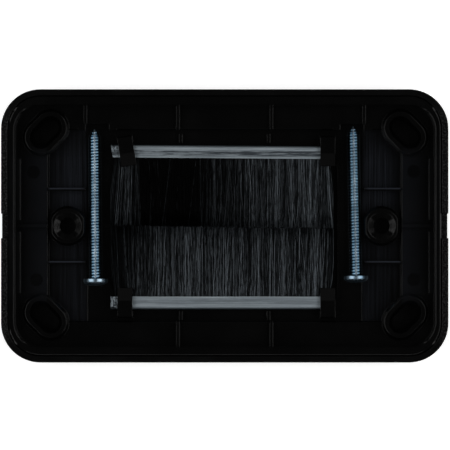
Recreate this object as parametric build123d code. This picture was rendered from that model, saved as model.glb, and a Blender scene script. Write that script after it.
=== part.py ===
from build123d import *
from math import atan, cos, degrees, radians, sin, tan
import os

# A wall plate with two brush strips that cables pass between, lying on its front face.
# X runs along the plate, Y across it and +Z out of its rear, so the front face is at z = 0.
# Every size is in millimetres and every angle in degrees.

# Whole plate, measured at the rear edge of the cover's skirt
plate_length = 119.5
plate_width = 73.0
plate_depth = 10.8
plate_corner_r = 10.5

# Front cover, a shallow lid that snaps over the base plate and narrows towards its front
cover_wall = 1.8
skirt_wall = 1.65
skirt_draft = 5.5
skirt_setback = 0.3
front_edge_r = 2.2
pry_notch_width = 6.6
pry_notch_depth = 2.2

# Window in both pieces, a little off the middle of the plate
window_y = -0.3
window_corner_r = 2.0
window_width = 34.8
window_end_gap = 0.35
window_step = 2.0
window_bevel = 0.8
collar_wall = 3.4

# Snap lugs inside the cover's long walls, and the pockets for them in the base plate's rim
snap_x = 38.0
snap_length = 8.0
snap_reach = 0.75
snap_height = 1.6
snap_z = 7.2
snap_clearance = 0.2

# Base plate, a moulding of even wall: a high rim, a band round it and a deeper pocket inside
base_gap = 0.25
base_lift = 0.4
base_wall = 2.0
rim_end_wall = 1.75
rim_long_wall = 2.2
rim_draft = 1.0
rim_bevel = 0.35
band_step = 2.2
pocket_past_fixing = 5.1
pocket_width = 51.2
pocket_y = 0.1
pocket_corner_r = 2.0
pocket_bevel = 0.35
valley_inside_fixing = 5.3
strip_raise = 0.3
end_ledge_wall = 1.45
end_ledge_drop = 1.6
end_ledge_y = (1.6, 18.0)

# Recesses at the top of the valley that leave room for the tips of the packed screws
tip_recess_width = 6.4
tip_recess_past_valley = 0.6
tip_recess_reach = 1.65

# Round screw bosses on the plate's fixing centres
fixing_spacing = 84.0
fixing_hole_r = 2.1
fixing_throat = 2.0
fixing_boss_r = 5.3
fixing_boss_across = 9.8
fixing_boss_rise = 3.2
fixing_funnel_r = 3.7
fixing_head_recess_r = 3.7
fixing_head_recess = 2.4
fixing_boss_bevel = 0.7

# Slotted bosses near the corners, each set across the diagonal
corner_boss_x = 48.05
corner_boss_y = 24.7
corner_boss_middle = (0.2, 0.3)
corner_boss_angle = 45.0
corner_boss_length = 13.5
corner_boss_width = 9.8
corner_boss_rise = 2.0
corner_boss_bevel = 0.7
corner_slot_length = 8.1
corner_slot_width = 4.35
corner_slot_flare = 0.9
corner_slot_flare_depth = 1.3
corner_head_clearance = 1.4
corner_head_recess = 3.4

# Ribs
rib_wall = 0.8
band_rib_x = 12.5
band_rib_rise = 1.8
tip_rib_rise = 1.2
strip_rib_y = 9.8
middle_rib_rise = 1.6
valley_rib_rise = 0.7

# Brush strips: a folded channel, a core wire and the bristles folded round that wire
channel_end_room = 6.85
channel_x = -0.65
channel_depth = 3.4
channel_height = 2.6
channel_wall = 0.45
channel_back_r = 0.7
channel_pinch = 0.15
channel_crease = 1.9
channel_land = 0.5
crimp_inset = 0.85
crimp_width = 0.4
crimp_depth = 0.15
wire_r = 0.5
wire_back_gap = 0.05
bristle_inset = 0.4
bristle_spread = 0.25
tuft_count = 32
tuft_groove = 0.3
tuft_tip_gap = 0.14
tip_scatter = 0.7
tip_notch = 3.4
meeting_gap = 0.3
meeting_y_left = 0.15
meeting_y_right = -0.65

# Where the strips lie in their hooks: their play lets the upper one lie slightly askew
seat_y = 20.3
hook_play = 0.5
upper_strip_shift = -0.2
upper_strip_tilt = -0.45
upper_strip_slant = 9.0

# Moulded hooks that hold the channels down, the upper left one a little twisted
hook_middle_x = 0.45
hook_end_inset = 2.7
hook_width = 4.0
hook_leg = 1.8
hook_arm = 1.4
hook_clearance = 0.05
hook_ramp_start = 0.6
hook_ramp_drop = 1.25
hook_edge = 0.4
hook_twist = 9.0
hook_core_margin = 0.25
stop_x = 11.75
stop_length = 2.4
stop_rise = 1.9

# Fixing screws, packed loose in the valley
screw_length = 40.0
screw_r = 1.75
screw_tip_length = 2.2
screw_tip_r = 0.35
screw_head_r = 3.2
screw_head_height = 1.7
screw_crown_r = 2.0
screw_head_side = 0.75
recess_width = 0.85
recess_reach = 1.75
recess_depth = 1.1
recess_bottom_reach = 0.8
left_screw_side_gap = 2.1
left_screw_tip_gap = 1.5
left_screw_lean = 0.4
right_screw_side_gap = 1.5
right_screw_tip_gap = 0.7
right_screw_lean = 1.15

# Levels and places that follow from the sizes above
skirt_z = plate_depth - skirt_setback
base_front_z = cover_wall + base_lift
floor_z = base_front_z + base_wall
strip_z = floor_z + strip_raise
band_z = floor_z + band_step
band_front_z = band_z - base_wall
brush_z = floor_z + channel_height / 2
bristle_half = channel_height / 2 - channel_wall - channel_pinch
bristle_top_z = brush_z + bristle_half + bristle_spread
rim_end_x = plate_length / 2 - skirt_wall - base_gap - rim_end_wall
rim_long_y = plate_width / 2 - skirt_wall - base_gap - rim_long_wall
pocket_top_y = pocket_y + pocket_width / 2
pocket_length = fixing_spacing + 2 * pocket_past_fixing
valley_length = fixing_spacing - 2 * valley_inside_fixing
tip_recess_end = valley_length / 2 + tip_recess_past_valley
channel_length = valley_length - 2 * channel_end_room
window_length = channel_length + 2 * window_end_gap
hook_half = channel_depth / 2 + hook_play
hook_reach = channel_length / 2 - hook_end_inset
hook_x = (hook_middle_x - hook_reach, hook_middle_x + hook_reach)


def between(x, y, z):
    """A block that fills three ranges, each given in either order."""
    low = [min(r) for r in (x, y, z)]
    size = [abs(r[1] - r[0]) for r in (x, y, z)]
    return Pos(*low) * Box(*size, align=(Align.MIN, Align.MIN, Align.MIN))


def prism(sketch, z0, z1, taper=0.0):
    """A flat sketch at height z0, extruded up or down to z1. A taper narrows it on the way."""
    return extrude(Plane.XY.offset(z0) * sketch, amount=z1 - z0, taper=taper)


def bevelled(sketch, z0, z1, bevel):
    """A flat sketch extruded from z0 to z1, with a bevel round its upper end."""
    return prism(sketch, z0, z1 - bevel) + prism(sketch, z1 - bevel, z1, 45)


def outline_at(inset, z):
    """The plate's outline at a height, inset evenly from the drafted skirt."""
    shrink = inset + (skirt_z - z) * tan(radians(skirt_draft))
    return RectangleRounded(
        plate_length - 2 * shrink, plate_width - 2 * shrink, plate_corner_r - shrink
    )


def drafted(inset, z_top, z_bottom):
    """A block with the plate's outline, following the skirt's draft down from its top."""
    return prism(outline_at(inset, z_top), z_top, z_bottom, skirt_draft)


def skirt_inner_y(z):
    """Half the width between the insides of the skirt's long walls at a height."""
    return plate_width / 2 - skirt_wall - (skirt_z - z) * tan(radians(skirt_draft))


def across_x(points, x0, x1):
    """A section of (y, z) points, extruded along X."""
    face = make_face(Polyline(*points, close=True))
    return extrude(Plane.YZ.offset(x0) * face, amount=x1 - x0)


def window(grow=0.0):
    """The outline of the base plate's window, grown evenly or shrunk."""
    outline = RectangleRounded(
        window_length + 2 * grow, window_width + 2 * grow, window_corner_r + max(grow, 0)
    )
    return Pos(0, window_y) * outline


def front_cover():
    """The cover, whose front edge is rounded in two bevels."""
    shell = drafted(0, skirt_z, front_edge_r)
    knee_z = front_edge_r * (1 - sin(radians(45)))
    knee = offset(outline_at(0, front_edge_r), -knee_z)
    shell += prism(outline_at(0, front_edge_r), front_edge_r, knee_z, 22.5)
    shell += prism(knee, knee_z, 0, 67.5)
    shell -= drafted(skirt_wall, skirt_z, cover_wall)
    shell += prism(window(collar_wall - window_step), cover_wall / 2, base_front_z)
    shell -= prism(window(-window_step), 0, base_front_z)
    shell -= prism(window(window_bevel - window_step), 0, window_bevel, 45)

    half_notch = pry_notch_width / 2
    for side in (-1, 1):
        reach = (side * (plate_length / 2 - 2 * skirt_wall), side * plate_length / 2)
        shell -= between(reach, (-half_notch, half_notch), (skirt_z - pry_notch_depth, skirt_z))
        for x in (-snap_x, snap_x):
            shell += snap_lug(x, side)
    return shell


def snap_lug(x, side):
    """A wedge inside a long wall: flat towards the front, where it holds, and sloped behind."""
    wall = skirt_inner_y(snap_z)
    root = wall + skirt_wall / 2
    points = [
        (side * root, snap_z),
        (side * (wall - snap_reach), snap_z),
        (side * (wall - snap_reach), snap_z + snap_height / 4),
        (side * root, snap_z + snap_height),
    ]
    return across_x(points, x - snap_length / 2, x + snap_length / 2)


def base_shell():
    """The rim, the band and the pocket, with an even wall on both faces."""
    rim = drafted(skirt_wall + base_gap, plate_depth, band_front_z)
    hollow = RectangleRounded(
        2 * rim_end_x, 2 * rim_long_y, plate_corner_r - skirt_wall - base_gap - rim_end_wall
    )
    rim -= prism(hollow, plate_depth, band_z, rim_draft)
    rim = chamfer(rim.edges().group_by(Axis.Z)[-1], rim_bevel)

    middle = Pos(0, pocket_y)
    under = RectangleRounded(
        pocket_length + 2 * base_wall, pocket_width + 2 * base_wall, pocket_corner_r + base_wall
    )
    rim += prism(middle * under, base_front_z, band_z)
    pocket = RectangleRounded(pocket_length, pocket_width, pocket_corner_r)
    rim -= prism(middle * pocket, strip_z, band_z)
    bevel = RectangleRounded(
        pocket_length + 2 * pocket_bevel,
        pocket_width + 2 * pocket_bevel,
        pocket_corner_r + pocket_bevel,
    )
    rim -= prism(middle * bevel, band_z, band_z - pocket_bevel, 45)
    valley = Rectangle(valley_length, pocket_width)
    rim -= prism(middle * valley, floor_z, strip_z)
    return rim + tip_recesses_under() - tip_recesses()


def tip_recesses():
    """The two recesses past the pocket's upper wall."""
    y = (pocket_top_y - pocket_corner_r, pocket_top_y + tip_recess_reach)
    x = (tip_recess_end - tip_recess_width, tip_recess_end)
    return [between([side * v for v in x], y, (floor_z, band_z)) for side in (-1, 1)]


def tip_recesses_under():
    """The pocket's wall, carried on round each recess on the front side."""
    x = (tip_recess_end - tip_recess_width - base_wall, tip_recess_end + base_wall)
    y = (pocket_top_y, pocket_top_y + tip_recess_reach + base_wall)
    return [between([side * v for v in x], y, (base_front_z, band_z)) for side in (-1, 1)]


def end_ledges():
    """Low ledges along the inside of the rim's short walls, open at the middle rib."""
    x = (rim_end_x - end_ledge_wall, rim_end_x + rim_end_wall / 2)
    z = (band_z - base_wall / 2, plate_depth - end_ledge_drop)
    return [
        between([side * v for v in x], [half * v for v in end_ledge_y], z)
        for side in (-1, 1)
        for half in (-1, 1)
    ]


def ribs():
    """Thin ribs that stiffen the band, the strips beside the pocket and the valley."""
    half = rib_wall / 2
    made = []
    for side in (-1, 1):
        x = (side * band_rib_x - half, side * band_rib_x + half)
        for end in (-1, 1):
            y = (pocket_y + end * pocket_width / 2, end * (rim_long_y + half))
            made.append(between(x, y, (band_front_z, band_z + band_rib_rise)))
            y = (end * strip_rib_y - half, end * strip_rib_y + half)
            x_strip = (side * tip_recess_end, side * (pocket_length / 2 + half))
            made.append(between(x_strip, y, (floor_z - half, band_z)))
        x = (side * tip_recess_end - half, side * tip_recess_end + half)
        y = (pocket_top_y + tip_recess_reach, rim_long_y + half)
        made.append(between(x, y, (band_front_z, band_z + tip_rib_rise)))
        x = (side * (pocket_length / 2 + half), side * (rim_end_x + half))
        made.append(between(x, (-half, half), (band_front_z, band_z + middle_rib_rise)))
        x = (side * (fixing_spacing / 2), side * (pocket_length / 2 + half))
        made.append(between(x, (-half, half), (base_front_z + half, band_z)))
        x = (side * window_length / 2, side * fixing_spacing / 2)
        made.append(between(x, (-half, half), (base_front_z + half, floor_z + valley_rib_rise)))
    return made


def fixing_boss():
    """A round boss with a flat on each side, which gives the screw's head room on the front."""
    outline = Circle(fixing_boss_r) & Rectangle(fixing_boss_across, 2 * fixing_boss_r)
    return bevelled(outline, base_front_z, strip_z + fixing_boss_rise, fixing_boss_bevel)


def fixing_hole():
    """Head recess, round throat and the funnel that opens to the rear."""
    seat_z = base_front_z + fixing_head_recess
    funnel_z = seat_z + fixing_throat
    top_z = strip_z + fixing_boss_rise
    hole = prism(Circle(fixing_head_recess_r), base_front_z, seat_z)
    hole += prism(Circle(fixing_hole_r), base_front_z, top_z)
    funnel = Cone(
        fixing_hole_r,
        fixing_funnel_r,
        top_z - funnel_z,
        align=(Align.CENTER, Align.CENTER, Align.MIN),
    )
    return hole + Pos(0, 0, funnel_z) * funnel


def corner_boss():
    """A stadium-shaped boss with a bevelled top edge."""
    outline = SlotOverall(corner_boss_length, corner_boss_width)
    return bevelled(outline, base_front_z, band_z + corner_boss_rise, corner_boss_bevel)


def corner_slot():
    """A slot that flares to the rear, with a wider recess for a screw's head in front."""
    top_z = band_z + corner_boss_rise
    slot = prism(SlotOverall(corner_slot_length, corner_slot_width), base_front_z, top_z)
    wide = SlotOverall(
        corner_slot_length + 2 * corner_slot_flare, corner_slot_width + 2 * corner_slot_flare
    )
    slope = degrees(atan(corner_slot_flare / corner_slot_flare_depth))
    slot += prism(wide, top_z, top_z - corner_slot_flare_depth, slope)
    head = SlotOverall(
        corner_slot_length + 2 * corner_head_clearance,
        corner_slot_width + 2 * corner_head_clearance,
    )
    return slot + prism(head, base_front_z, base_front_z + corner_head_recess)


def corner_places():
    """The four corner bosses' places, each turned to lie across its diagonal."""
    middle = Pos(*corner_boss_middle)
    return [
        middle * Pos(sx * corner_boss_x, sy * corner_boss_y) * Rot(0, 0, -sx * sy * corner_boss_angle)
        for sx in (-1, 1)
        for sy in (-1, 1)
    ]


def hook(x, side):
    """A leg behind the channel, an arm over it and a lip in front, sloped towards the window."""
    arm_z = floor_z + channel_height + hook_clearance
    top_z = arm_z + hook_arm
    lip_z = bristle_top_z + hook_clearance
    section = [
        (hook_half + hook_leg, base_front_z + base_wall / 2),
        (hook_half + hook_leg, top_z - hook_edge),
        (hook_half + hook_leg - hook_edge, top_z),
        (-hook_ramp_start, top_z),
        (-hook_half - hook_leg, top_z - hook_ramp_drop),
        (-hook_half - hook_leg, lip_z),
        (-hook_half, lip_z),
        (-hook_half, arm_z),
        (hook_half, arm_z),
        (hook_half, base_front_z + base_wall / 2),
    ]
    foot = hook_half + hook_leg / 2
    points = [(side * (v - foot), z) for v, z in section]
    place = Pos(x, window_y + side * (seat_y + foot))
    if side > 0 and x < 0:
        place *= Rot(0, 0, hook_twist)
    return place * across_x(points, -hook_width / 2, hook_width / 2)


def hook_core(x, side):
    """The hole in the floor under a hook's arm that its moulding needs."""
    seat = window_y + side * seat_y
    edge = window_y + side * (window_width / 2 - window_corner_r)
    half = hook_width / 2 + hook_core_margin
    return between((x - half, x + half), (edge, seat + side * hook_half), (base_front_z, floor_z))


def channel_stops(side):
    """Two short ribs behind a channel, on the far side of its play."""
    seat = window_y + side * seat_y
    y = (seat + side * hook_half, seat + side * (hook_half + stop_length))
    half = rib_wall / 2
    z = (base_front_z + half, floor_z + stop_rise)
    return [between((x - half, x + half), y, z) for x in (-stop_x, stop_x)]


def base_plate():
    plate = base_shell() + end_ledges() + ribs()
    bosses = [Pos(side * fixing_spacing / 2, 0) for side in (-1, 1)]
    plate += [place * fixing_boss() for place in bosses]
    plate += [place * corner_boss() for place in corner_places()]
    plate -= [place * fixing_hole() for place in bosses]
    plate -= [place * corner_slot() for place in corner_places()]

    plate -= prism(window(), base_front_z, floor_z + valley_rib_rise)
    for side in (-1, 1):
        plate += channel_stops(side)
        for x in hook_x:
            plate -= hook_core(x, side)
            plate += hook(x, side)

    for side in (-1, 1):
        outside = side * (plate_width / 2)
        inside = side * (skirt_inner_y(snap_z) - snap_reach - snap_clearance)
        z = (snap_z - snap_clearance, snap_z + snap_height + snap_clearance)
        half = snap_length / 2 + snap_clearance
        for x in (-snap_x, snap_x):
            plate -= between((x - half, x + half), (outside, inside), z)
    return plate


def channel(slant):
    """A folded channel that opens towards +Y, pinched along its mouth and crimped at each end.

    Its first end is cut off askew by the slant, an angle.
    """
    half, back = channel_height / 2, -channel_depth / 2
    mouth = channel_depth / 2
    crease, land = back + channel_crease, mouth - channel_land
    pinched = half - channel_pinch

    def skin(inset):
        z, narrow = half - inset, pinched - inset
        points = [(crease, z), (land, narrow), (mouth, narrow), (mouth, -narrow), (land, -narrow)]
        taper = make_face(Polyline(*points, (crease, -z), close=True))
        tube = Pos((back + inset + crease) / 2, 0) * Rectangle(crease - back - inset, 2 * z)
        round_back = tube.vertices().group_by(Axis.X)[0]
        return fillet(round_back, channel_back_r - inset) + taper

    section = skin(0) - skin(channel_wall)
    end = channel_length / 2
    body = extrude(Plane.YZ.offset(-end) * section, amount=channel_length)
    askew = Pos(-end, back) * Rot(0, 0, -slant)
    body -= askew * between((-channel_depth, 0), (-channel_depth, 2 * channel_depth), (-half, half))

    notch = [(-crimp_width / 2, half), (crimp_width / 2, half), (0, half - crimp_depth)]
    notch = extrude(Plane.XZ * make_face(Polyline(*notch, close=True)), amount=channel_depth, both=True)
    notch += mirror(notch, about=Plane.XY)
    body -= askew * Pos(crimp_inset, 0) * notch
    return body - Pos(end - crimp_inset, 0) * notch


def wire_y():
    """The core wire's place: the bristles folded round it almost touch the channel's back."""
    inner_half = channel_height / 2 - channel_wall
    return -channel_depth / 2 + channel_wall + wire_back_gap + inner_half


def core_wire():
    half = (channel_length - 2 * bristle_inset) / 2
    return extrude(Plane.YZ.offset(-half) * Pos(wire_y(), 0) * Circle(wire_r), amount=2 * half)


def tuft_reach(x, side):
    """How far the tips reach from the channel's middle, to end at the line where the rows meet."""
    tilt, shift = strip_pose(side)
    along = (x + channel_length / 2) / channel_length
    meeting_y = meeting_y_left + along * (meeting_y_right - meeting_y_left)
    strip_y = window_y + side * seat_y + shift + x * tan(radians(tilt))
    return abs(strip_y - meeting_y) - meeting_gap / 2


def bristles(side):
    """Tufts folded round the wire and gripped at the mouth, as one comb with ragged tips."""
    length = channel_length - 2 * bristle_inset
    pitch = length / tuft_count
    mouth = channel_depth / 2
    inner_half = channel_height / 2 - channel_wall
    full_half = bristle_half + bristle_spread

    root = Pos(wire_y(), 0) * Circle(inner_half)
    root += Pos((wire_y() + mouth) / 2, 0) * Rectangle(mouth - wire_y(), 2 * bristle_half)
    root -= Pos(wire_y(), 0) * Circle(wire_r)
    comb = extrude(Plane.YZ.offset(-length / 2) * root, amount=length)

    above, below, plan = [], [], []
    for n in range(tuft_count):
        x = -length / 2 + n * pitch
        above += [(x, full_half - tuft_groove), (x + pitch / 2, full_half)]
        below += [(x, tuft_groove - full_half), (x + pitch / 2, -full_half)]
        tip = tuft_reach(x + pitch / 2, side) - tip_scatter * (0.5 + 0.5 * sin(2.4 * n))
        slant = 0.5 * tip_scatter * sin(1.3 * n + side)
        notch = tip_notch * (1 + 0.4 * sin(1.9 * n + side))
        plan += [
            (x, tip - notch if n else tip),
            (x + tuft_tip_gap, tip + min(slant, 0)),
            (x + pitch - tuft_tip_gap, tip - max(slant, 0)),
        ]
    end = length / 2
    above.append((end, full_half - tuft_groove))
    below.append((end, tuft_groove - full_half))
    farthest = max(y for _, y in plan)
    ridged = make_face(Polyline(*above, *reversed(below), close=True))
    ridged = extrude(Plane.XZ.offset(-farthest) * ridged, amount=farthest - mouth)
    plan = make_face(Polyline((-end, mouth), *plan, (end, mouth), close=True))
    return comb + (ridged & prism(plan, -full_half, full_half))


def strip_pose(side):
    """A strip's tilt and its shift from the middle of its hooks."""
    return (upper_strip_tilt, upper_strip_shift) if side > 0 else (0.0, 0.0)


def strip_piece(piece, side):
    """A piece of a brush strip, turned to face the window and laid on the floor in its hooks."""
    tilt, shift = strip_pose(side)
    if side > 0:
        piece = mirror(piece, about=Plane.XZ)
    place = Pos(0, window_y + side * seat_y + shift, brush_z)
    return place * Rot(0, 0, tilt) * Pos(channel_x, 0, 0) * piece


def cross(reach):
    """The outline of a cross recess."""
    return Rectangle(2 * reach, recess_width) + Rectangle(recess_width, 2 * reach)


def screw():
    """A pan-head screw along +Y, with the underside of its head at the origin."""
    section = [
        (0, -screw_head_height),
        (screw_crown_r, -screw_head_height),
        (screw_head_r, -screw_head_side),
        (screw_head_r, 0),
        (screw_r, 0),
        (screw_r, screw_length - screw_tip_length),
        (screw_tip_r, screw_length),
        (0, screw_length),
    ]
    body = revolve(make_face(Polyline(*section, close=True)), Axis.Y)
    mouth = Plane.XZ.offset(screw_head_height) * cross(recess_reach)
    bottom = Plane.XZ.offset(screw_head_height - recess_depth) * cross(recess_bottom_reach)
    return body - loft([mouth, bottom], ruled=True)


def packed_screw(side, side_gap, tip_gap, lean):
    """A screw at rest on the valley's floor, on the rim of its head and the end of its thread."""
    span = screw_length - screw_tip_length
    dip = degrees(atan((screw_head_r - screw_r) / span))
    x = side * (valley_length / 2 - side_gap)
    y = pocket_top_y + tip_recess_reach - tip_gap - screw_length
    z = floor_z + screw_head_r * cos(radians(dip))
    return Pos(x, y, z) * Rot(0, 0, lean) * Rot(-dip, 0, 0) * screw()


nodes = {"front_cover": front_cover(), "base_plate": base_plate()}
for name, side in (("upper", 1), ("lower", -1)):
    nodes[name + "_channel"] = strip_piece(channel(upper_strip_slant if side > 0 else 0), side)
    nodes[name + "_core_wire"] = strip_piece(core_wire(), side)
    nodes[name + "_bristles"] = strip_piece(bristles(side), side)
nodes["left_screw"] = packed_screw(-1, left_screw_side_gap, left_screw_tip_gap, left_screw_lean)
nodes["right_screw"] = packed_screw(1, right_screw_side_gap, right_screw_tip_gap, right_screw_lean)

os.makedirs("parts", exist_ok=True)
for name, solid in nodes.items():
    export_step(solid, os.path.join("parts", name + ".step"))
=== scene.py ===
from math import atan2, cos, degrees, pi, radians, sin, sqrt, tan
import random

import bmesh
import bpy
from mathutils import Matrix, Vector, noise


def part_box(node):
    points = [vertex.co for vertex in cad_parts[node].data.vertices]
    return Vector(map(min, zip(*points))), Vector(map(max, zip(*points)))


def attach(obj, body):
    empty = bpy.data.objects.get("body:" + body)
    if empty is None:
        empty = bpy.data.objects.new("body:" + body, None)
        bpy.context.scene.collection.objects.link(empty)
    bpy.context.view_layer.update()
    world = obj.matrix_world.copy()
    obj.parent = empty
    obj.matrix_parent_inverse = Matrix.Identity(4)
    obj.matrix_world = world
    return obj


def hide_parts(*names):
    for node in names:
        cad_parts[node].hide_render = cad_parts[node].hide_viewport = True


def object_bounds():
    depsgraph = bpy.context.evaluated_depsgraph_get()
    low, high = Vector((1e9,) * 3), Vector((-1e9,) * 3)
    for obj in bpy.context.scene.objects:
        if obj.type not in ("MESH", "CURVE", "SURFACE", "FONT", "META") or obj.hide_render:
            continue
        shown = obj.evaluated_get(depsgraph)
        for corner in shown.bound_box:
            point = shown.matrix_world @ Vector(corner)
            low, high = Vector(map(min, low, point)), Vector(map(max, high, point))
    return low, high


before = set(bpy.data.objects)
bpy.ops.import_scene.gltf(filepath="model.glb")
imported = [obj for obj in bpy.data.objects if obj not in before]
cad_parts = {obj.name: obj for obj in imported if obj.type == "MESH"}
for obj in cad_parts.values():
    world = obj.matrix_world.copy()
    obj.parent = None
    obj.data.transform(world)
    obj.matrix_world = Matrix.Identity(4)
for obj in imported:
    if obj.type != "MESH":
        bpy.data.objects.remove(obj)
cad_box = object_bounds()

MM = 0.001

# The photograph: straight above the plate, which fills its width
plate_width_px = 447.4
frame_width_px = 450
view_middle = (0.08 * MM, 0.24 * MM)
camera_distance = 2.0
camera_reach = 50

# Stage: a wide round floor that curves up into a low wall
floor_r = 3.2
floor_drop = 0.05 * MM
wall_rise = 0.22
wall_curve_r = 0.15
wall_curve_steps = 10
stage_steps = 96
stage_weld = 1e-5
stage_tone = 0.85
stage_roughness = 0.9
stage_glow = 0.63

# Where the floor under the plate passes into the open floor, in millimetres from the middle
under_plate_x = (53.0, 57.0)
under_plate_y = (30.0, 34.0)

# Lights: four large softboxes that lean over the plate and leave the middle above it dark
box_size = (1.4, 1.0)
box_distance = 1.2
box_lean = radians(42)
side_glow = 1.86
top_glow = 0.13
low_glow = 0.1
air_glow = 0.03

# Brush strips as the source lays them. The channels' measures are in millimetres.
meeting_y = (0.15 * MM, -0.65 * MM)
upper_tilt = radians(-0.45)
upper_y = 19.8
lower_y = -20.6
channel_half = 1.7
# How strongly painted shade darkens each channel's crease, upper and lower
upper_crease_shade = 0.9
lower_crease_shade = 0.35

# Fibres: their shape
fibre_count = 7800
fibre_points = 5
fibre_sides = 3
fibre_r = 0.068 * MM
fibre_tip_share = 0.6
fibre_root_inset = 0.6 * MM

# Fibres: how a row fills its strip. The depth step, a golden section, spreads them evenly.
end_inset = 0.8 * MM
end_room = 0.3 * MM
end_splay = radians(4)
end_splay_share = 0.06
depth_step = 0.618034
root_half = 0.6 * MM
tip_half = 0.85 * MM
widened_share = 0.3

# Fibres: how far they cross the line where the rows meet, or stop short of it, in millimetres
core_share = 0.42
core_cross = (0.5, 1.5)
short_least = 0.05
short_by_clump = 0.12
short_by_chance = 0.25

# Fibres: how they lean and bend
sway = radians(1.6)
lean_spread = radians(2.4)
bend_spread = 0.3 * MM
stray_share = 0.025
stray_lean = radians(7)

# Fibres: their painted sheen, how grey it makes them, from 0, black, to 1, and painted glints on a
# few
plain_sheen = 0.15
glint_boost = 5.0
glint_power = 5
stray_glint = 0.14
stray_depth = 0.4
uneven_least = 0.7
uneven_range = 0.6
strand_span = (-0.4, 0.6)

# Noise along a row: blobs per millimetre, and two numbers that set the pattern
clump_noise = (1 / 1.3, 9, 0)
sway_noise = (1 / 4, 5, 2)
patch_noise = (0.35, 7, 0)
strand_noise = (3.6, 3, 5)

# Each row's own values, 1 for the upper one and -1 for the lower one: the seed of its dice, how
# much painted shade darkens its fibres towards their tips, its painted sheen at the left end, and
# then the steps of that sheen as start and end, in millimetres, and change
row_seed = {1: 11, -1: 23}
row_tip_shade = {1: 0.1, -1: 0.5}
row_sheen_tone = {1: 0.122, -1: 0.07}
row_steps = {
    1: ((-26, -22, -0.12), (-7, -4, 0.08), (2, 11, 0.21)),
    -1: ((-27, -18, 0.35), (21, 27, -0.18)),
}

# Screws: thread
thread_pitch = 0.79 * MM
thread_depth = 0.36 * MM
thread_r = 1.74 * MM
thread_flank = 1.8
thread_sides = 24
rings_per_turn = 12
tip_length = 2.2 * MM
tip_r = 0.35 * MM
tip_power = 0.65

# Screws: pan head and its cross recess
head_r = 3.19 * MM
head_height = 1.7 * MM
head_flat_r = 1.35 * MM
head_edge = 0.12 * MM
crown_share = 0.62
crown_steps = 12
cross_over = 0.2 * MM
cross_depth = 1.1 * MM
cross_reach = 1.75 * MM
cross_foot = 0.8 * MM
cross_half = 0.42 * MM
sharp_angle = radians(38)

# Screws: how near its ends a CAD screw's points count as its tip or its head
tip_near = 0.06 * MM
head_near = 0.17 * MM

# Screws: painted shine on the plating, with painted shade at the thread's sides. Each pair of
# angles from the thread's top, in degrees, is where that part of the shine starts to fall and where
# it ends.
head_shine = 0.4
side_shine = 0.14
top_shine = ((0.08, 28, 50), (0.5, 0, 16))
left_shine = 1.65
right_shine = 1.25

# Ejector marks on the base plate's band, in millimetres
ejector_r = 1.7
ejector_places = ((-51.2, 14.4), (-39.2, 29.0), (50.6, 14.6), (50.6, -14.4), (-50.4, -14.4))

# The span in which most of a noise lies
noise_span = (0.3, 0.7)


def smooth(low, high, x):
    """0 below low, 1 above high, and a smooth rise between them."""
    t = min(max((x - low) / (high - low), 0), 1)
    return t * t * (3 - 2 * t)


def grey(value):
    return (value, value, value, 1)


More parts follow.
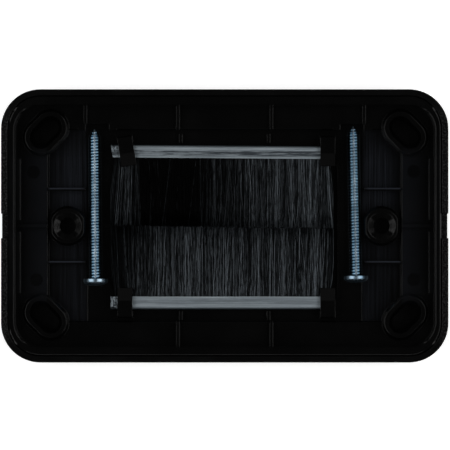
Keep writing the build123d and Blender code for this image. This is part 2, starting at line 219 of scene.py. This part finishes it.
class Shader:
    """A node material under construction, with a Principled shader at its end."""

    def __init__(self, name):
        self.material = bpy.data.materials.new(name)
        self.material.use_nodes = True
        self.tree = self.material.node_tree
        self.surface = self.tree.nodes["Principled BSDF"]

    def node(self, kind, inputs=None, **settings):
        """Adds a node. Inputs are sockets to link from, or plain values."""
        made = self.tree.nodes.new(kind)
        for name, value in settings.items():
            setattr(made, name, value)
        for name, value in (inputs or {}).items():
            self.feed(made.inputs[name], value)
        return made

    def feed(self, socket, value):
        if isinstance(value, bpy.types.NodeSocket):
            self.tree.links.new(value, socket)
        else:
            socket.default_value = value

    def place(self, scale=(1, 1, 1)):
        """The point on the object, in millimetres, scaled along each axis."""
        point = self.node("ShaderNodeTexCoord").outputs["Object"]
        mapped = self.node("ShaderNodeMapping", {"Vector": point, "Scale": [s / MM for s in scale]})
        return mapped.outputs["Vector"]

    def parts(self):
        """The point's X, Y and Z, in millimetres."""
        return self.node("ShaderNodeSeparateXYZ", {0: self.place()}).outputs

    def noise(self, scale, detail=2.0, roughness=0.5, stretch=(1, 1, 1)):
        """Noise with the given number of blobs per millimetre."""
        made = self.node(
            "ShaderNodeTexNoise",
            {
                "Vector": self.place(stretch),
                "Scale": scale,
                "Detail": detail,
                "Roughness": roughness,
            },
        )
        return made.outputs["Fac"]

    def attribute(self, name):
        """A value that the mesh carries at each of its points."""
        return self.node("ShaderNodeAttribute", attribute_name=name).outputs["Fac"]

    def math(self, operation, a, b=0.0):
        return self.node("ShaderNodeMath", {0: a, 1: b}, operation=operation).outputs[0]

    def product(self, first, *rest):
        for value in rest:
            first = self.math("MULTIPLY", first, value)
        return first

    def total(self, first, *rest):
        for value in rest:
            first = self.math("ADD", first, value)
        return first

    def size(self, value):
        """A value without its sign."""
        return self.math("ABSOLUTE", value)

    def span(self, value, low, high, to_low=0.0, to_high=1.0):
        """Maps a value's span onto another, and holds it there."""
        made = self.node(
            "ShaderNodeMapRange",
            {
                "Value": value,
                "From Min": low,
                "From Max": high,
                "To Min": to_low,
                "To Max": to_high,
            },
        )
        return made.outputs["Result"]

    def blend(self, share, low, high):
        """A colour between two, each a colour or a socket."""
        made = self.node("ShaderNodeMix", data_type="RGBA")
        for place, value in ((0, share), (6, low), (7, high)):
            self.feed(made.inputs[place], value)
        return made.outputs[2]

    def level(self, share, normal):
        """A normal that a share turns straight up."""
        made = self.node("ShaderNodeMix", data_type="VECTOR")
        for place, value in ((0, share), (4, normal), (5, (0, 0, 1))):
            self.feed(made.inputs[place], value)
        return made.outputs[1]

    def soft_edges(self, radius):
        """The normal of edges rounded to a radius in millimetres, a number or a socket."""
        if isinstance(radius, bpy.types.NodeSocket):
            radius = self.product(radius, MM)
        else:
            radius *= MM
        return self.node("ShaderNodeBevel", {"Radius": radius}, samples=4).outputs["Normal"]

    def bump(self, height, depth, normal=None):
        """Bump of a depth in millimetres, over a normal where one is given."""
        inputs = {"Height": height, "Distance": depth * MM}
        if normal:
            inputs["Normal"] = normal
        return self.node("ShaderNodeBump", inputs).outputs["Normal"]

    def finish(self, **inputs):
        for name, value in inputs.items():
            self.feed(self.surface.inputs[name.replace("_", " ")], value)
        return self.material


def cover_plastic():
    """Black plastic with a fine spark-eroded grain, deeper and flecked on the short sides."""
    side_x = (57.0, 58.2)
    fleck_span = (0.5, 0.68)
    grain_elsewhere = 0.25
    grain_depth = 0.05
    edge_r = 0.25
    shader = Shader("cover_plastic")
    at_side = shader.span(shader.size(shader.parts()["X"]), *side_x)
    broad = shader.noise(0.12, detail=2.0)
    fleck = shader.product(shader.span(shader.noise(2.4, detail=2.0), *fleck_span), at_side)
    grain = shader.noise(3.0, detail=3.0, roughness=0.6)
    grain = shader.product(grain, shader.span(at_side, 0.0, 1.0, grain_elsewhere, 1.0))
    return shader.finish(
        Base_Color=shader.blend(fleck, grey(0.0015), grey(0.02)),
        Roughness=shader.span(broad, *noise_span, 0.17, 0.24),
        Specular_IOR_Level=0.24,
        Normal=shader.bump(grain, grain_depth, shader.soft_edges(edge_r)),
    )


def painted_strip_sheen(shader, parts, across):
    """Painted streaky sheen on the raised strips beside the pocket, weaker outwards and at its
    ends.
    """
    inner_x = (36.6, 37.2)
    outer_x = (47.3, 46.9)
    below_z = 4.9
    weaker_x = (46.5, 40.5)
    upper_end_y = (23.0, 17.0)
    lower_half_y = (-2.0, 6.0)
    streak_span = (0.38, 0.68)
    streak = shader.noise(1.0, detail=4.0, roughness=0.65, stretch=(2.6, 0.04, 1))
    return shader.product(
        shader.span(across, *inner_x),
        shader.span(across, *outer_x),
        shader.math("LESS_THAN", parts["Z"], below_z),
        shader.span(across, *weaker_x, 0.25, 1.0),
        shader.span(parts["Y"], *upper_end_y, 0.4, 1.0),
        shader.span(parts["Y"], *lower_half_y, 0.5, 1.0),
        shader.span(streak, *streak_span, 0.3, 1.6),
    )


def painted_band_sheen(shader, parts, across):
    """Even painted sheen on the band past the strips, weaker outwards."""
    weaker_x = (54.0, 48.5)
    inner_x = (47.3, 47.8)
    end_y = (22.0, 18.0)
    above_z = 5.0
    return shader.product(
        shader.span(across, *weaker_x, 0.08, 0.4),
        shader.span(across, *inner_x),
        shader.span(shader.size(parts["Y"]), *end_y),
        shader.math("GREATER_THAN", parts["Z"], above_z),
    )


def painted_rib_highlight(shader, parts, across):
    """A painted highlight line along the upper half of each strip rib's top."""
    rib_y = 9.8
    inner_x = (37.0, 38.5)
    outer_x = (47.4, 46.6)
    line_start = (-0.1, 0.1)
    line_end = (0.5, 0.42)
    highlight_gain = 2.2
    above_z = 6.0
    from_rib = shader.math("SUBTRACT", shader.size(parts["Y"]), rib_y)
    from_rib = shader.product(from_rib, shader.math("SIGN", parts["Y"]))
    return shader.product(
        shader.span(across, *inner_x),
        shader.span(across, *outer_x),
        shader.span(from_rib, *line_start, 0.0, highlight_gain),
        shader.span(from_rib, *line_end),
        shader.math("GREATER_THAN", parts["Z"], above_z),
    )


def ejector_mask(shader, parts):
    """1 inside the round ejector marks on the band, 0 elsewhere."""
    masks = []
    for x, y in ejector_places:
        dx = shader.math("SUBTRACT", parts["X"], x)
        dy = shader.math("SUBTRACT", parts["Y"], y)
        squares = shader.total(shader.product(dx, dx), shader.product(dy, dy))
        masks.append(shader.math("LESS_THAN", squares, ejector_r**2))
    return shader.total(*masks)


def slot_distance(shader, parts):
    """Millimetres from the middle line of the nearest corner slot, which lies at 45 degrees."""
    half_line = 1.9
    from_slot = []
    for axis, middle, slot in (("X", 0.2, 48.05), ("Y", 0.3, 24.7)):
        out = shader.size(shader.math("SUBTRACT", parts[axis], middle))
        from_slot.append(shader.math("SUBTRACT", out, slot))
    along = shader.product(shader.size(shader.math("SUBTRACT", *from_slot)), sqrt(0.5))
    along = shader.math("MAXIMUM", shader.math("SUBTRACT", along, half_line), 0.0)
    over = shader.product(shader.total(*from_slot), sqrt(0.5))
    squares = shader.total(shader.product(along, along), shader.product(over, over))
    return shader.math("SQRT", squares)


def dull_rim(shader, parts):
    """1 on the rim's top edges that are dark in the photograph, 0 elsewhere."""
    long_side_y = (30.0, 32.0)
    lower_edge_y = -33.5
    left_edge_x = (-57.2, -57.4)
    above_z = 10.3
    on_long_side = shader.product(
        shader.span(shader.size(parts["Y"]), *long_side_y),
        shader.math("GREATER_THAN", parts["Y"], lower_edge_y),
    )
    return shader.product(
        shader.math("MAXIMUM", on_long_side, shader.span(parts["X"], *left_edge_x)),
        shader.math("GREATER_THAN", parts["Z"], above_z),
    )


def base_plastic():
    """Smooth black plastic with painted sheen round the pocket, ejector marks and soft edges."""
    painted_sheen_share = 0.25
    mark_share = 0.7
    mark_depth = 3.0
    slot_mouth = (3.6, 3.9)
    slot_edge_r = 0.03
    edge_r = 0.22
    fine_depth = 0.012
    shader = Shader("base_plastic")
    parts = shader.parts()
    across = shader.size(parts["X"])
    looks = (painted_strip_sheen, painted_band_sheen, painted_rib_highlight)
    painted_sheen = shader.total(*[look(shader, parts, across) for look in looks])
    mark = ejector_mask(shader, parts)
    # The pale blue-grey is the colour of the painted sheen, laid over the black plastic.
    colour = shader.blend(
        shader.product(painted_sheen, painted_sheen_share), grey(0.001), (0.029, 0.033, 0.043, 1)
    )
    radius = shader.span(slot_distance(shader, parts), *slot_mouth, slot_edge_r, edge_r)
    edges = shader.level(dull_rim(shader, parts), shader.soft_edges(radius))
    broad = shader.noise(0.1, detail=3.0)
    fine = shader.noise(2.2, detail=3.0, roughness=0.6)
    height = shader.math("SUBTRACT", fine, shader.product(mark, mark_depth))
    return shader.finish(
        Base_Color=shader.blend(shader.product(mark, mark_share), colour, grey(0.0005)),
        Roughness=shader.span(broad, *noise_span, 0.15, 0.21),
        Specular_IOR_Level=0.24,
        Normal=shader.bump(height, fine_depth, edges),
    )


def channel_metal(name, side, middle_y, tilt, crease_shade_share):
    """Folded strip, drawn lengthwise, with painted shade in darker streaks along its crease and
    along its rounded back edge.
    """
    crease_start = (1.2, 1.5)
    crease_end = (3.1, 2.6)
    back_edge_shade = (0.6, 0.0)
    end_x = (-28.2, -28.8)
    crease_shade_span = (0.42, 0.53)
    fleck_span = (0.42, 0.55)
    drawn_depth = 0.02
    edge_r = 0.12
    shader = Shader(name)
    parts = shader.parts()
    middle = shader.total(shader.product(parts["X"], tan(tilt)), middle_y)
    offset = shader.product(shader.math("SUBTRACT", parts["Y"], middle), side)
    from_back = shader.math("SUBTRACT", channel_half, offset)
    drawn = shader.noise(1.0, detail=5.0, roughness=0.6, stretch=(0.06, 5.0, 5.0))
    # Painted shade in dark mottled streaks along the crease
    crease_shade = shader.noise(1.0, detail=6.0, roughness=0.75, stretch=(0.11, 3.2, 3.2))
    crease_shade = shader.product(
        shader.span(from_back, *crease_start),
        shader.span(from_back, *crease_end),
        shader.span(crease_shade, *crease_shade_span),
        crease_shade_share,
    )
    fleck = shader.span(shader.noise(1.4, detail=3.0), *fleck_span)
    at_end = shader.product(shader.span(parts["X"], *end_x), fleck)
    colour = shader.blend(
        shader.span(drawn, *noise_span), (0.22, 0.26, 0.29, 1), (0.36, 0.41, 0.44, 1)
    )
    colour = shader.blend(crease_shade, colour, (0.02, 0.026, 0.033, 1))
    # Painted shade along the rounded back edge, which turns away from the light
    colour = shader.blend(shader.span(from_back, *back_edge_shade), colour, (0.12, 0.15, 0.17, 1))
    return shader.finish(
        Base_Color=shader.blend(at_end, colour, (0.03, 0.035, 0.04, 1)),
        Metallic=0.8,
        Roughness=shader.span(drawn, *noise_span, 0.36, 0.5),
        Normal=shader.bump(drawn, drawn_depth, shader.soft_edges(edge_r)),
    )


def wire_metal():
    """Drawn steel wire."""
    drawn_depth = 0.01
    shader = Shader("wire_metal")
    drawn = shader.noise(1.0, detail=3.0, stretch=(0.2, 6.0, 6.0))
    return shader.finish(
        Base_Color=shader.blend(drawn, grey(0.35), grey(0.55)),
        Metallic=1.0,
        Roughness=shader.span(drawn, *noise_span, 0.25, 0.4),
        Normal=shader.bump(drawn, drawn_depth),
    )


def bristle_fibre():
    """Nylon fibre, whose painted sheen takes it from black to a bluish grey."""
    speck_span = (0.35, 0.65)
    shader = Shader("bristle_fibre")
    speck = shader.noise(1.8, detail=2.0, stretch=(1.4, 0.25, 1))
    sheen_tone = shader.product(shader.attribute("sheen_tone"), shader.span(speck, *speck_span, 0.5, 1.5))
    return shader.finish(
        Base_Color=shader.blend(sheen_tone, grey(0.0005), (0.14, 0.16, 0.178, 1)),
        Roughness=shader.span(sheen_tone, 0.0, 1.0, 0.35, 0.5),
        Specular_IOR_Level=0.02,
    )


def screw_zinc():
    """Zinc plating with a faint blue passivation, with painted shine along the thread's top and
    painted shade at its sides.
    """
    shade_end = 0.28
    rough_span = (0.18, 0.3)
    fine_depth = 0.008
    shader = Shader("screw_zinc")
    patch = shader.noise(0.35, detail=3.0)
    fine = shader.noise(4.0, detail=3.0, roughness=0.6)
    painted_shine = shader.product(shader.attribute("painted_shine"), shader.span(patch, *noise_span, 0.65, 1.25))
    # Painted shade colours at the thread's sides, then a pale painted highlight along its top
    shaded_colour = shader.blend(
        shader.span(painted_shine, 0.0, shade_end), (0.0, 0.004, 0.01, 1), (0.12, 0.21, 0.29, 1)
    )
    return shader.finish(
        Base_Color=shader.blend(shader.span(painted_shine, shade_end, 1.0), shaded_colour, (0.8, 0.92, 1.0, 1)),
        Metallic=1.0,
        Roughness=shader.span(painted_shine, *rough_span, 0.13, 0.3),
        Normal=shader.bump(fine, fine_depth),
    )


def studio_white():
    """Pale stage that the camera and reflections see brighter than it is lit, but under the plate
    it stays as it is lit."""
    shader = Shader("studio_white")
    rays = shader.node("ShaderNodeLightPath").outputs
    seen = shader.math("MAXIMUM", rays["Is Camera Ray"], rays["Is Glossy Ray"])
    seen = shader.math("MAXIMUM", seen, rays["Is Transmission Ray"])
    parts = shader.parts()
    past_end = shader.span(shader.size(parts["X"]), *under_plate_x)
    past_side = shader.span(shader.size(parts["Y"]), *under_plate_y)
    open_floor = shader.math("MAXIMUM", past_end, past_side)
    return shader.finish(
        Base_Color=grey(stage_tone),
        Roughness=stage_roughness,
        Emission_Color=grey(1),
        Emission_Strength=shader.product(seen, open_floor, stage_glow),
    )


def set_camera():
    data = bpy.data.cameras.new("camera")
    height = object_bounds()[1][2]
    view_width = (cad_box[1][0] - cad_box[0][0]) * frame_width_px / plate_width_px
    data.lens = data.sensor_width * camera_distance / view_width
    data.clip_end = camera_reach
    camera = bpy.data.objects.new("camera", data)
    camera.location = (*view_middle, height + camera_distance)
    bpy.context.scene.collection.objects.link(camera)
    bpy.context.scene.camera = camera


def to_mesh(name, made):
    """The mesh of a finished bmesh, which is freed."""
    mesh = bpy.data.meshes.new(name)
    made.to_mesh(mesh)
    made.free()
    return mesh


def add_mesh(name, mesh, material):
    """A new object for a mesh, with its material."""
    piece = bpy.data.objects.new(name, mesh)
    piece.data.materials.append(material)
    bpy.context.scene.collection.objects.link(piece)
    return piece


def add_stage():
    """The round floor and its wall, open above."""
    profile = [(0, 0), (floor_r, 0)]
    for n in range(1, wall_curve_steps + 1):
        turn = n / wall_curve_steps * pi / 2
        profile.append((floor_r + wall_curve_r * sin(turn), wall_curve_r * (1 - cos(turn))))
    profile.append((floor_r + wall_curve_r, wall_rise))
    made = bmesh.new()
    line = [made.verts.new((x, 0, z)) for x, z in profile]
    edges = [made.edges.new(pair) for pair in zip(line, line[1:])]
    bmesh.ops.spin(
        made, geom=line + edges, cent=(0, 0, 0), axis=(0, 0, 1), angle=2 * pi, steps=stage_steps
    )
    bmesh.ops.remove_doubles(made, verts=made.verts, dist=stage_weld)
    bmesh.ops.recalc_face_normals(made, faces=made.faces)
    mesh = to_mesh("stage", made)
    mesh.shade_smooth()
    stage = add_mesh("stage", mesh, studio_white())
    stage.location.z = -floor_drop


def add_softbox(name, direction, glow):
    """A softbox of a given glow, 1 being white, that leans over the plate and faces it."""
    data = bpy.data.lights.new(name, "AREA")
    data.shape = "RECTANGLE"
    data.size, data.size_y = box_size
    data.energy = glow * pi * box_size[0] * box_size[1]
    lamp = bpy.data.objects.new(name, data)
    side, up = sin(box_lean), cos(box_lean)
    lamp.location = (Vector(direction) * side + Vector((0, 0, up))) * box_distance
    lamp.rotation_euler = (-lamp.location).to_track_quat("-Z", "Y").to_euler()
    bpy.context.scene.collection.objects.link(lamp)


def set_world():
    world = bpy.data.worlds.new("studio_air")
    world.use_nodes = True
    air = world.node_tree.nodes["Background"]
    air.inputs["Color"].default_value = grey(1)
    air.inputs["Strength"].default_value = air_glow
    bpy.context.scene.world = world


def dress(node, material):
    """Gives a CAD node its finished material."""
    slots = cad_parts[node].data.materials
    slots.clear()
    slots.append(material)


def row_noise(x, side, kind):
    """Noise from -1 to 1 at a place along a row."""
    per_mm, lane, layer = kind
    return noise.noise(Vector((per_mm * x / MM, side * lane, layer)))


def sheen_tone_at(x, side):
    """How grey the painted sheen makes the fibres on average at a place along a row."""
    patch = 0.5 + 0.5 * row_noise(x, side, patch_noise)
    strand = smooth(*strand_span, row_noise(x, side, strand_noise))
    sheen_tone = row_sheen_tone[side]
    for start, end, change in row_steps[side]:
        sheen_tone += change * smooth(start, end, x / MM)
    for uneven in (patch, strand):
        sheen_tone *= uneven_least + uneven_range * uneven
    return sheen_tone


def fibre(path, made, sheen_tones, sheen_tone, tip_shade):
    """A tapering fibre along a path, closed at its tip, where painted shade has darkened it."""
    rings = []
    last = len(path) - 1
    for n, point in enumerate(path):
        r = fibre_r * (1 if n < last else fibre_tip_share)
        turns = [pi / 2 + 2 * pi * k / fibre_sides for k in range(fibre_sides)]
        rings.append([made.verts.new(point + Vector((r * cos(t), 0, r * sin(t)))) for t in turns])
        sheen_tones += [sheen_tone * (1 - tip_shade * n / last)] * fibre_sides
    for low, high in zip(rings, rings[1:]):
        for k in range(fibre_sides):
            made.faces.new((low[k], low[k - 1], high[k - 1], high[k]))
    made.faces.new(rings[-1])


def fibre_path(root, tip_y, z_middle, depth, lean, bend, x_range):
    """Points from a root to the tip's line, leaning and bending aside, and held within a range."""
    path = []
    for n in range(fibre_points):
        t = n / (fibre_points - 1)
        y = root[1] + t * (tip_y - root[1])
        x = root[0] + tan(lean) * abs(y - root[1]) + bend * sin(pi * t)
        half = root_half + (tip_half - root_half) * smooth(0, widened_share, t)
        path.append(Vector((min(max(x, x_range[0]), x_range[1]), y, z_middle + depth * half)))
    return path


def bristle_row(name, side, channel, node):
    """One strip's fibres, from inside its channel's mouth to the line where the rows meet."""
    dice = random.Random(row_seed[side])
    low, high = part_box(channel)
    box_low, box_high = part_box(node)
    slope = tan(upper_tilt) if side > 0 else 0.0
    middle_x = (low.x + high.x) / 2
    mouth = low.y if side > 0 else high.y
    mouth += side * abs(slope) * (high.x - low.x) / 2
    z_middle = (box_low.z + box_high.z) / 2
    x_low, x_high = box_low.x + end_inset, box_high.x - end_inset
    x_range = (box_low.x - end_room, box_high.x + end_room)
    made, sheen_tones = bmesh.new(), []
    for k in range(fibre_count):
        share = (k + dice.random()) / fibre_count
        x = x_low + share * (x_high - x_low)
        root = (x, mouth + slope * (x - middle_x) + side * fibre_root_inset)
        depth = 2 * (k * depth_step % 1) - 1
        if abs(depth) < core_share:
            short = -dice.uniform(*core_cross)
        else:
            clump = 0.5 + 0.5 * row_noise(x, side, clump_noise)
            short = short_least + short_by_clump * clump + short_by_chance * dice.random() ** 2
        tip_y = meeting_y[0] + share * (meeting_y[1] - meeting_y[0]) + side * short * MM
        splay = smooth(1 - end_splay_share, 1.0, share) - smooth(end_splay_share, 0.0, share)
        lean = sway * row_noise(x, side, sway_noise) + dice.gauss(0, lean_spread)
        lean += end_splay * splay
        stray = dice.random() < stray_share
        if stray:
            lean = dice.uniform(-stray_lean, stray_lean)
        bend = dice.gauss(0, bend_spread)
        # Painted sheen: each fibre's grey stands in for light it catches, with painted glints on a
        # few
        sheen_tone = sheen_tone_at(x, side) * (plain_sheen + glint_boost * dice.random() ** glint_power)
        # Painted shade: fibres lying deeper in the row are darker
        sheen_tone *= 0.5 + 0.5 * max(depth, 0)
        # Painted glint on stray fibres near the top
        if stray and depth > stray_depth:
            sheen_tone += stray_glint + sheen_tone_at(x, side)
        path = fibre_path(root, tip_y, z_middle, depth, lean, bend, x_range)
        fibre(path, made, sheen_tones, sheen_tone, row_tip_shade[side])
    bmesh.ops.recalc_face_normals(made, faces=made.faces)
    mesh = to_mesh(name, made)
    mesh.shade_smooth()
    # Each point keeps its fibre's painted sheen
    mesh.attributes.new("sheen_tone", "FLOAT", "POINT").data.foreach_set("value", sheen_tones)
    piece = add_mesh(name, mesh, fibre_material)
    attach(piece, "root")
    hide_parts(node)


def axis_ends(node):
    """The middles of a screw's head end and of its tip."""
    points = [v.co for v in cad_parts[node].data.vertices]
    tip_y = max(p.y for p in points)
    head_y = min(p.y for p in points)
    tip = [p for p in points if p.y > tip_y - tip_near]
    head = [p for p in points if p.y < head_y + head_near]
    return sum(head, Vector()) / len(head), sum(tip, Vector()) / len(tip)


def thread_radius(turn, s, length):
    """The shank's radius at a place along it, where the thread winds round it."""
    saw = (s / thread_pitch - turn / (2 * pi)) % 1.0
    ridge = 1 - abs(2 * saw - 1)
    r = thread_r - thread_depth * (1 - min(1.0, thread_flank * ridge))
    taper = min((length - s) / tip_length, 1.0) ** tip_power
    return tip_r + (r - tip_r) * taper


def screw_body(length):
    """A pan head and a threaded shank along +Z, with the head's end at the origin."""
    turns = [2 * pi * k / thread_sides for k in range(thread_sides)]
    profile = []
    for n in range(crown_steps + 1):
        turn = n / crown_steps * pi / 2
        r = head_flat_r + (head_r - head_flat_r) * sin(turn)
        profile.append((r, head_height * crown_share * (1 - cos(turn))))
    profile.append((head_r, head_height - head_edge))
    profile.append((head_r - head_edge, head_height))
    rings = [[(r, z)] * thread_sides for r, z in profile]
    shank = length - head_height
    count = round(shank / thread_pitch * rings_per_turn)
    for n in range(count + 1):
        s = shank * n / count
        rings.append([(thread_radius(turn, s, shank), head_height + s) for turn in turns])
    made = bmesh.new()
    grid = [
        [made.verts.new((r * cos(t), r * sin(t), z)) for t, (r, z) in zip(turns, ring)]
        for ring in rings
    ]
    for low, high in zip(grid, grid[1:]):
        for k in range(thread_sides):
            made.faces.new((low[k - 1], low[k], high[k], high[k - 1]))
    made.faces.new(reversed(grid[0]))
    made.faces.new(grid[-1])
    bmesh.ops.recalc_face_normals(made, faces=made.faces)
    return made


def cross_cutter():
    """The solid of a cross recess, narrowing into the head."""
    corners = ((-1, -1), (1, -1), (1, 1), (-1, 1))
    sides = ((3, 2, 1, 0), (4, 5, 6, 7), (0, 1, 5, 4), (1, 2, 6, 5), (2, 3, 7, 6), (3, 0, 4, 7))
    made = bmesh.new()
    for turn in (0, pi / 2):
        quarter = Matrix.Rotation(turn, 3, "Z")
        verts = [
            made.verts.new(quarter @ Vector((x * reach, y * cross_half, z)))
            for z, reach in ((-cross_over, cross_reach), (cross_depth, cross_foot))
            for x, y in corners
        ]
        for side in sides:
            made.faces.new([verts[k] for k in side])
    bmesh.ops.recalc_face_normals(made, faces=made.faces)
    return made


def cut_recess(piece):
    """Cuts the cross recess into a screw that stands on the origin."""
    cutter = bpy.data.objects.new("cutter", to_mesh("cutter", cross_cutter()))
    bpy.context.scene.collection.objects.link(cutter)
    cut = piece.modifiers.new("recess", "BOOLEAN")
    cut.object = cutter
    cut.operation = "DIFFERENCE"
    cut.solver = "EXACT"
    cut.use_self = True
    bpy.context.view_layer.update()
    shown = piece.evaluated_get(bpy.context.evaluated_depsgraph_get())
    done = bpy.data.meshes.new_from_object(shown)
    piece.modifiers.clear()
    piece.data = done
    bpy.data.objects.remove(cutter)


def painted_shine_at(point, head, axis, shine):
    """How much painted shine the plating gets: the thread is painted brightest along its top and
    darkest at its sides.
    """
    along = (point - head).dot(axis)
    if along < head_height:
        return head_shine
    out = point - head - axis * along
    turn = degrees(abs(atan2(out.x, out.z)))
    top = sum(painted_shine * (1 - smooth(low, high, turn)) for painted_shine, low, high in top_shine)
    return side_shine + top * shine


def threaded_screw(name, node, shine):
    """A screw with its thread and cross recess, laid where the CAD screw lies."""
    head, tip = axis_ends(node)
    axis = (tip - head).normalized()
    piece = add_mesh(name, to_mesh(name, screw_body((tip - head).length)), screw_material)
    cut_recess(piece)
    turn = axis.to_track_quat("Z", "Y").to_matrix().to_4x4()
    piece.data.transform(Matrix.Translation(head) @ turn)
    # Painted shine along each thread's top and painted shade at its sides, kept at each point
    painted_shine = [painted_shine_at(v.co, head, axis, shine) for v in piece.data.vertices]
    piece.data.attributes.new("painted_shine", "FLOAT", "POINT").data.foreach_set("value", painted_shine)
    piece.data.shade_smooth()
    piece.data.set_sharp_from_angle(angle=sharp_angle)
    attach(piece, "root")
    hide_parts(node)


set_camera()
set_world()
add_stage()
add_softbox("left_softbox", (-1, 0, 0), side_glow)
add_softbox("right_softbox", (1, 0, 0), side_glow)
add_softbox("top_softbox", (0, 1, 0), top_glow)
add_softbox("low_softbox", (0, -1, 0), low_glow)
bpy.context.scene.view_settings.view_transform = "Standard"

metals = {
    "upper": channel_metal("upper_channel_metal", 1, upper_y, upper_tilt, upper_crease_shade),
    "lower": channel_metal("lower_channel_metal", -1, lower_y, 0.0, lower_crease_shade),
}
fibre_material = bristle_fibre()
screw_material = screw_zinc()
dress("front_cover", cover_plastic())
dress("base_plate", base_plastic())
wire = wire_metal()
for row in ("upper", "lower"):
    dress(row + "_channel", metals[row])
    dress(row + "_core_wire", wire)
bristle_row("upper_fibres", 1, "upper_channel", "upper_bristles")
bristle_row("lower_fibres", -1, "lower_channel", "lower_bristles")
threaded_screw("left_threaded_screw", "left_screw", left_shine)
threaded_screw("right_threaded_screw", "right_screw", right_shine)
